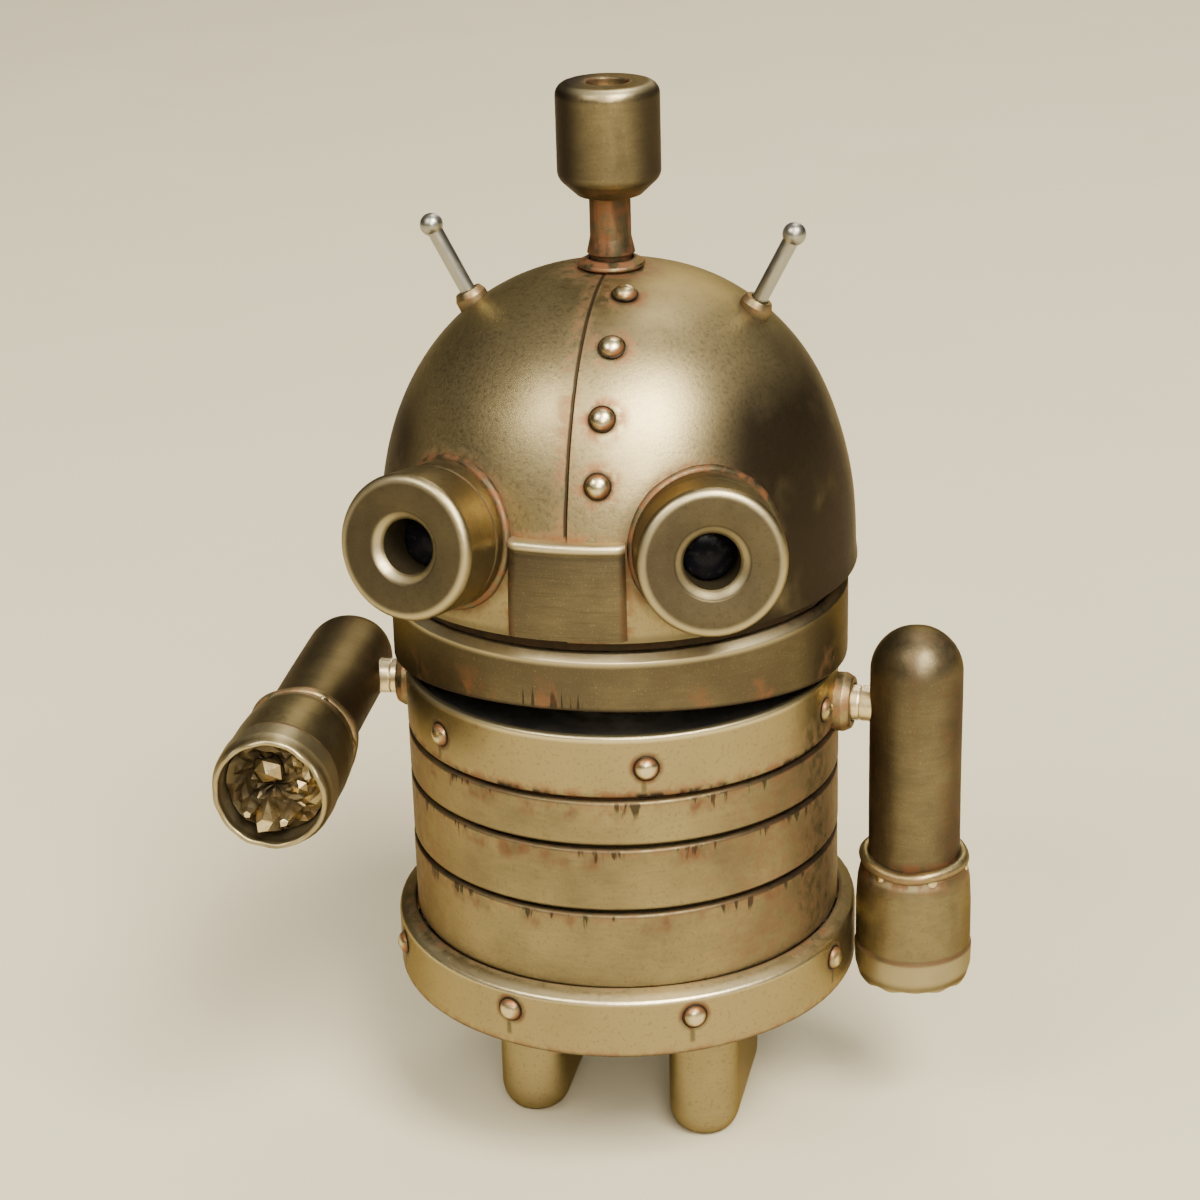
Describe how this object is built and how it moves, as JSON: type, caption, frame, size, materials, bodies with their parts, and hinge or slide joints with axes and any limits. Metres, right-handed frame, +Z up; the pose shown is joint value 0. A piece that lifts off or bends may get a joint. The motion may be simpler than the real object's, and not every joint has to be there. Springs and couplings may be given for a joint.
{
  "type": "wind-up robot",
  "caption": "Clockwork walking robot: domed head with tube eyes and aerials, banded round body, capsule arms on friction pins, swinging legs, and a winding knob on a stem at the crown.",
  "frame": {"origin": "middle of the footprint box, on the surface the robot stands on; the axis of the body and head is 3.7 mm behind it", "axes": "-Y is the way the robot faces, +X is the robot's left, +Z is up"},
  "size_m": [0.0708, 0.0554, 0.1086],
  "materials": {
    "gold_paint": "antiqued gold paint with brown wash in the seams, satin",
    "plain_steel": "plain sheet and rod, dull",
    "bright_rod": "bright drawn wire and pins",
    "clock_brass": "stamped clock brass, satin",
    "blued_steel": "blued spring strip",
    "lens_glass": "black glass, polished"
  },
  "bodies": {
    "body": {"axle_bracket_l": "plain_steel", "axle_bracket_r": "plain_steel", "base_band": "gold_paint", "base_plate": "plain_steel", "deck_plate": "plain_steel", "leg_axle": "plain_steel", "lower_hoop": "gold_paint", "lower_movement_plate": "clock_brass", "mainspring": "blued_steel", "middle_hoop": "gold_paint", "neck_clip": "plain_steel", "neck_tube": "plain_steel", "pillar_1": "plain_steel", "pillar_2": "plain_steel", "pillar_3": "plain_steel", "shoulder_bush_l": "gold_paint", "shoulder_bush_r": "gold_paint", "top_band": "gold_paint", "upper_hoop": "gold_paint", "upper_movement_plate": "clock_brass"},
    "head": {"head_dome": "gold_paint", "jaw_ring": "gold_paint", "head_plate": "plain_steel", "face_plate": "gold_paint", "eye_barrel_l": "gold_paint", "eye_barrel_r": "gold_paint", "eye_lens_l": "lens_glass", "eye_lens_r": "lens_glass", "aerial_l": "bright_rod", "aerial_r": "bright_rod", "aerial_ferrule_l": "gold_paint", "aerial_ferrule_r": "gold_paint", "crown_bush": "gold_paint", "seam_rivet_1": "gold_paint", "seam_rivet_2": "gold_paint", "seam_rivet_3": "gold_paint", "seam_rivet_4": "gold_paint"},
    "winder": {"winding_knob": "gold_paint", "knob_screw": "gold_paint", "winding_stem": "gold_paint", "winding_arbor": "plain_steel", "great_wheel": "clock_brass"},
    "cam_train": {"cam_spindle": "plain_steel", "cam_pinion": "clock_brass", "cam_wheel": "clock_brass"},
    "governor": {"governor_spindle": "plain_steel", "governor_pinion": "clock_brass", "governor_weight": "clock_brass"},
    "arm_l": {"shoulder_pin_l": "bright_rod", "upper_arm_l": "gold_paint", "hand_cuff_l": "gold_paint", "claw_l": "gold_paint"},
    "arm_r": {"shoulder_pin_r": "bright_rod", "upper_arm_r": "gold_paint", "hand_cuff_r": "gold_paint", "claw_r": "gold_paint"},
    "leg_l": {"foot_l": "gold_paint", "leg_strap_l": "plain_steel"},
    "leg_r": {"foot_r": "gold_paint", "leg_strap_r": "plain_steel"}
  },
  "joints": [
    {"name": "head_turn", "type": "hinge", "parent": "body", "child": "head", "pos_m": [0, 0.0037, 0.0597], "axis": [0, 0, 1], "range_deg": [-20, 20]},
    {"name": "winder_spin", "type": "hinge", "parent": "body", "child": "winder", "pos_m": [0, 0.0037, 0.09], "axis": [0, 0, 1], "continuous": true},
    {"name": "cam_spin", "type": "hinge", "parent": "body", "child": "cam_train", "pos_m": [0, -0.0053, 0.035], "axis": [0, 0, 1], "continuous": true},
    {"name": "governor_spin", "type": "hinge", "parent": "body", "child": "governor", "pos_m": [0.0052, -0.0083, 0.035], "axis": [0, 0, 1], "continuous": true},
    {"name": "arm_l_swing", "type": "hinge", "parent": "body", "child": "arm_l", "pos_m": [0.03005, 0.0037, 0.046], "axis": [-0.9982, 0.0593, 0], "range_deg": [-40, 170]},
    {"name": "arm_r_swing", "type": "hinge", "parent": "body", "child": "arm_r", "pos_m": [-0.03005, 0.0037, 0.046], "axis": [-0.9982, -0.0593, 0], "range_deg": [-130, 80]},
    {"name": "leg_l_swing", "type": "hinge", "parent": "body", "child": "leg_l", "pos_m": [0, 0.0014, 0.0213], "axis": [1, 0, 0], "range_deg": [-8, 8]},
    {"name": "leg_r_swing", "type": "hinge", "parent": "body", "child": "leg_r", "pos_m": [0, 0.0014, 0.0213], "axis": [1, 0, 0], "range_deg": [-8, 8]}
  ],
  "couplings": [
    {"joint": "cam_spin", "follows": "winder_spin", "ratio": -3},
    {"joint": "governor_spin", "follows": "winder_spin", "ratio": 6},
    {"joint": "leg_r_swing", "follows": "leg_l_swing", "ratio": -1}
  ]
}
